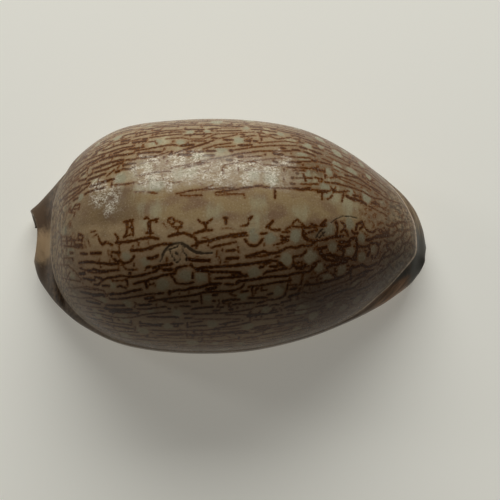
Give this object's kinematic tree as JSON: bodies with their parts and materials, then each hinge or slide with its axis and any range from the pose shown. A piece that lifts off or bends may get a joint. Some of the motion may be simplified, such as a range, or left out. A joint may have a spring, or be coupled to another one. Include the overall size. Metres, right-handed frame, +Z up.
{
  "type": "cowrie shell",
  "caption": "Egg-shaped glossy cowrie shell, hollow, with a flat base split end to end by a toothed slit and a notch at each end; brown broken lines run along its dome.",
  "frame": {"origin": "on the surface it rests on, under the middle of the shell's length and width", "axes": "+X along the shell's length to the narrow anterior end, +Y to the columellar side and -Y to the outer lip, +Z up from the flat toothed base to the dome"},
  "size_m": [0.0654, 0.0376, 0.0305],
  "materials": {
    "enamel": "gloss"
  },
  "bodies": {
    "root": {"shell": "enamel"}
  },
  "joints": []
}
